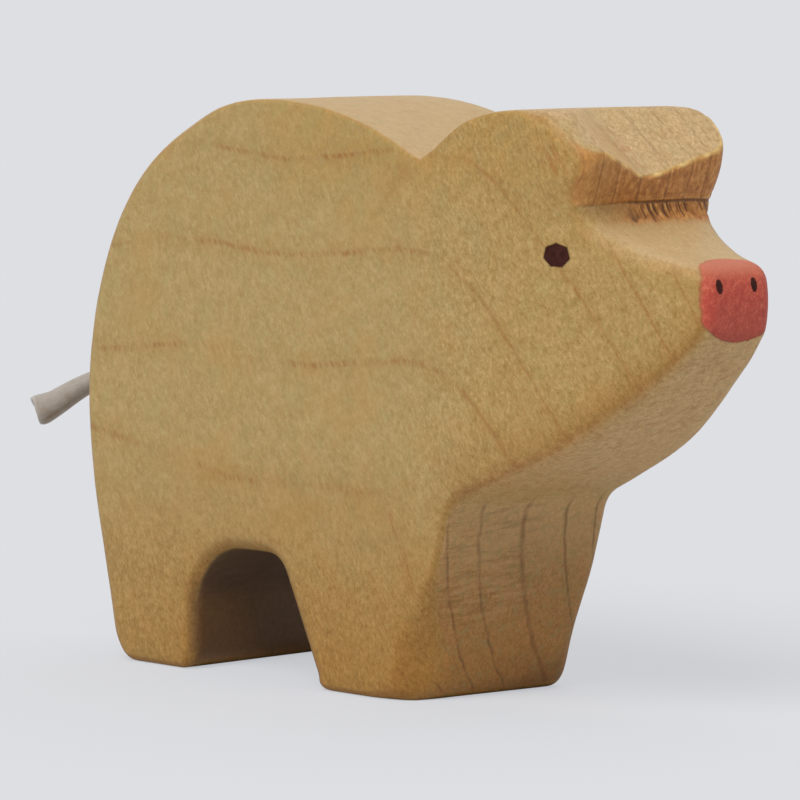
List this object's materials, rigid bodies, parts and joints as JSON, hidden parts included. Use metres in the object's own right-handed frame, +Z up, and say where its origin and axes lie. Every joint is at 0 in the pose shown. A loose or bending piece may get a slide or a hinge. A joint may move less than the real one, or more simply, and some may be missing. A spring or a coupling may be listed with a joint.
{
  "type": "pig figurine",
  "caption": "Carved wooden pig figurine with slab legs, a painted pink snout, painted eyes and a soft tail glued in the rump.",
  "frame": {"origin": "on the ground, under the middle of the box around the whole figure, tail included", "axes": "+X forwards to the snout, +Y to the pig's left, +Z up"},
  "size_m": [0.1258, 0.027, 0.0763],
  "materials": {
    "wood": "sanded pale hardwood, lightly oiled",
    "pink_paint": "thin brushed paint",
    "dark_paint": "brushed paint dot",
    "glue": "cured wood glue",
    "tail_lace": "soft greyish lace, cut end"
  },
  "bodies": {
    "pig": {"body": "wood", "snout_paint": "pink_paint", "left_nostril_paint": "dark_paint", "right_nostril_paint": "dark_paint", "left_eye_paint": "dark_paint", "right_eye_paint": "dark_paint", "tail_glue": "glue", "tail_root": "tail_lace"},
    "tail": {"tail": "tail_lace"}
  },
  "joints": [
    {"name": "tail_wag", "type": "hinge", "parent": "pig", "child": "tail", "pos_m": [-0.04777, 0, 0.0376], "axis": [0, 0, 1], "range_deg": [-40, 40], "stiffness_Nm_per_rad": 0.0005}
  ]
}
